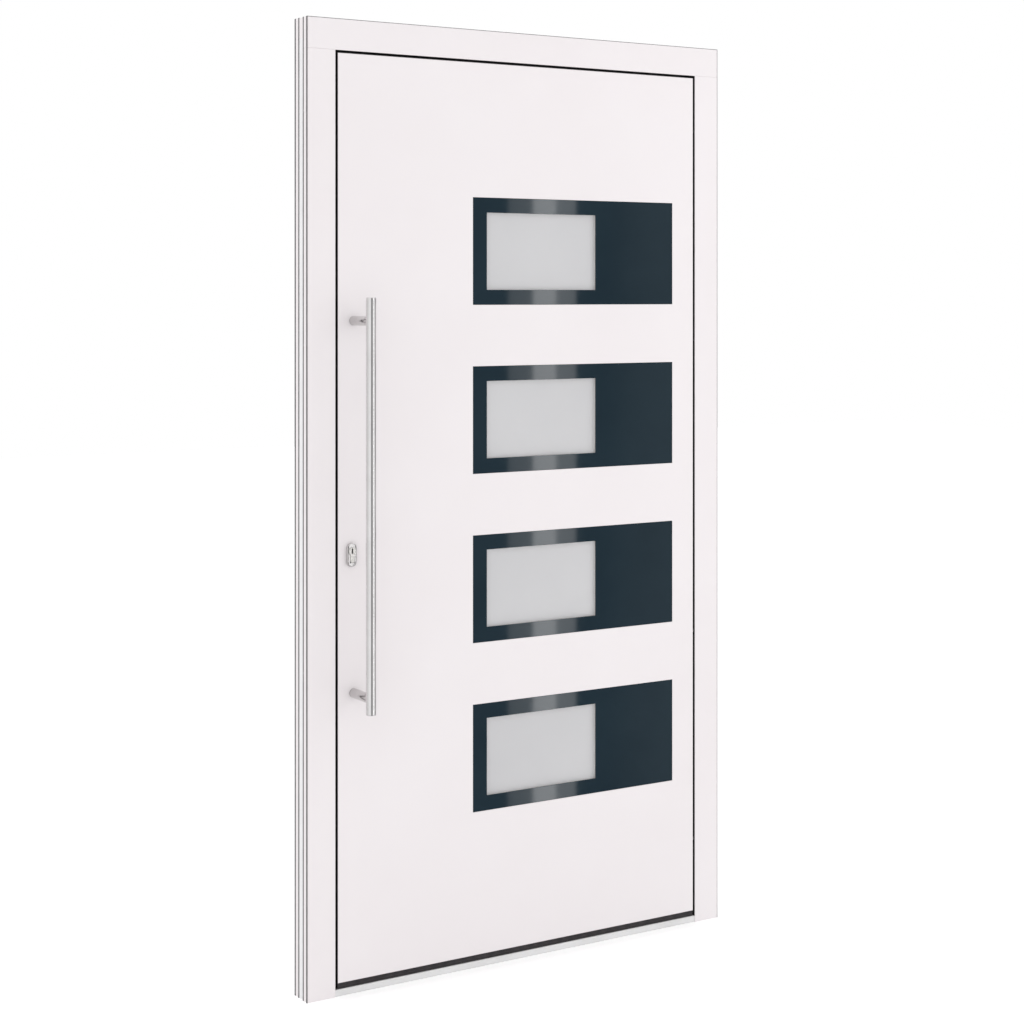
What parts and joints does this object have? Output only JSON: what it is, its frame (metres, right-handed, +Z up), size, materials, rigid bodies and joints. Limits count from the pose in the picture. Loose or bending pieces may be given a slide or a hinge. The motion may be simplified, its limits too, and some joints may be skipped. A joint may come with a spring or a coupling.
{
  "type": "glazed entrance door",
  "caption": "Inward-opening white entrance door in its frame, with glazed anthracite plates, long steel pull bar, multi-point lock and threshold.",
  "frame": {"origin": "middle of the frame's width and depth, on the underside of the threshold", "axes": "+Z up, -Y outside, +Y into the room, +X towards the hinges"},
  "size_m": [1.1, 0.218, 2.1],
  "materials": {
    "white_coat": "satin powder coat",
    "jamb_break": "matt",
    "polyamide": "matt",
    "threshold_metal": "anodised",
    "rubber": "matt",
    "anthracite": "satin powder coat",
    "frosted_glass": "satin etched",
    "spacer_metal": "satin",
    "reveal_tape": "matt",
    "foam": "rigid foam",
    "zinc_steel": "zinc plated",
    "lock_steel": "brushed",
    "nickel": "satin nickel",
    "stainless": "brushed along its length"
  },
  "bodies": {
    "frame": {"head_outer_shell": "white_coat", "head_thermal_break": "jamb_break", "head_inner_shell": "white_coat", "head_end_caps": "white_coat", "lock_jamb_outer_shell": "white_coat", "lock_jamb_thermal_break": "jamb_break", "lock_jamb_inner_shell": "white_coat", "hinge_jamb_outer_shell": "white_coat", "hinge_jamb_thermal_break": "jamb_break", "hinge_jamb_inner_shell": "white_coat", "threshold_outer_rail": "threshold_metal", "threshold_thermal_break": "polyamide", "threshold_inner_rail": "threshold_metal", "frame_seal": "rubber", "main_strike": "lock_steel", "hook_strikes": "lock_steel", "frame_screws": "zinc_steel", "hinge_frame_half_bottom": "white_coat", "hinge_frame_half_middle": "white_coat", "hinge_frame_half_top": "white_coat", "hinge_pins": "zinc_steel"},
    "leaf": {"outer_skin": "white_coat", "inner_skin": "white_coat", "lock_stile": "white_coat", "hinge_stile": "white_coat", "top_rail": "white_coat", "bottom_rail": "white_coat", "leaf_thermal_breaks": "polyamide", "insulation_core": "foam", "window_plate_1": "anthracite", "window_plate_2": "anthracite", "window_plate_3": "anthracite", "window_plate_4": "anthracite", "glass_panes": "frosted_glass", "glass_spacers": "spacer_metal", "glazing_tapes": "reveal_tape", "inner_trims": "white_coat", "leaf_seal": "rubber", "bottom_seal": "rubber", "hinge_leaf_half_bottom": "white_coat", "hinge_leaf_half_middle": "white_coat", "hinge_leaf_half_top": "white_coat", "leaf_screws": "zinc_steel", "lock_case": "lock_steel", "hook_cases": "lock_steel", "lock_faceplate": "lock_steel", "cylinder_body": "nickel", "cylinder_rosettes": "stainless", "lever_rosette": "stainless", "pull_bar": "stainless", "pull_posts": "stainless", "pull_fixings": "zinc_steel"},
    "lever": {"lever_handle": "stainless", "lever_spindle": "zinc_steel"},
    "latch": {"latch_bolt": "lock_steel"},
    "key_plug": {"cylinder_plug": "nickel"},
    "deadbolt": {"deadbolt": "lock_steel"},
    "upper_hook": {"upper_hook": "lock_steel"},
    "lower_hook": {"lower_hook": "lock_steel"},
    "drive_rod": {"drive_rod": "lock_steel"}
  },
  "joints": [
    {"name": "leaf_swing", "type": "hinge", "parent": "frame", "child": "leaf", "pos_m": [0.523, 0.041, 1.05], "axis": [0, 0, -1], "range_deg": [0, 100]},
    {"name": "lever_turn", "type": "hinge", "parent": "leaf", "child": "lever", "pos_m": [-0.446, 0.088, 1.047], "axis": [0, 1, 0], "range_deg": [0, 40], "stiffness_Nm_per_rad": 2, "springref_deg": -22.92},
    {"name": "latch_slide", "type": "slide", "parent": "leaf", "child": "latch", "axis": [1, 0, 0], "range_m": [0, 0.012]},
    {"name": "cylinder_turn", "type": "hinge", "parent": "leaf", "child": "key_plug", "pos_m": [-0.446, 0.02, 0.955], "axis": [0, -1, 0], "range_deg": [0, 360]},
    {"name": "deadbolt_slide", "type": "slide", "parent": "leaf", "child": "deadbolt", "axis": [-1, 0, 0], "range_m": [0, 0.02]},
    {"name": "upper_hook_turn", "type": "hinge", "parent": "leaf", "child": "upper_hook", "pos_m": [-0.478, 0.02, 1.7], "axis": [0, 1, 0], "range_deg": [0, 90]},
    {"name": "lower_hook_turn", "type": "hinge", "parent": "leaf", "child": "lower_hook", "pos_m": [-0.478, 0.02, 0.4], "axis": [0, 1, 0], "range_deg": [0, 90]},
    {"name": "drive_rod_slide", "type": "slide", "parent": "leaf", "child": "drive_rod", "axis": [0, 0, 1], "range_m": [0, 0.018]}
  ],
  "couplings": [
    {"joint": "latch_slide", "follows": "lever_turn", "m_per_rad": 0.01718},
    {"joint": "deadbolt_slide", "follows": "cylinder_turn", "m_per_rad": 0.003183},
    {"joint": "upper_hook_turn", "follows": "cylinder_turn", "ratio": 0.25},
    {"joint": "lower_hook_turn", "follows": "cylinder_turn", "ratio": 0.25},
    {"joint": "drive_rod_slide", "follows": "cylinder_turn", "m_per_rad": 0.0028647}
  ]
}
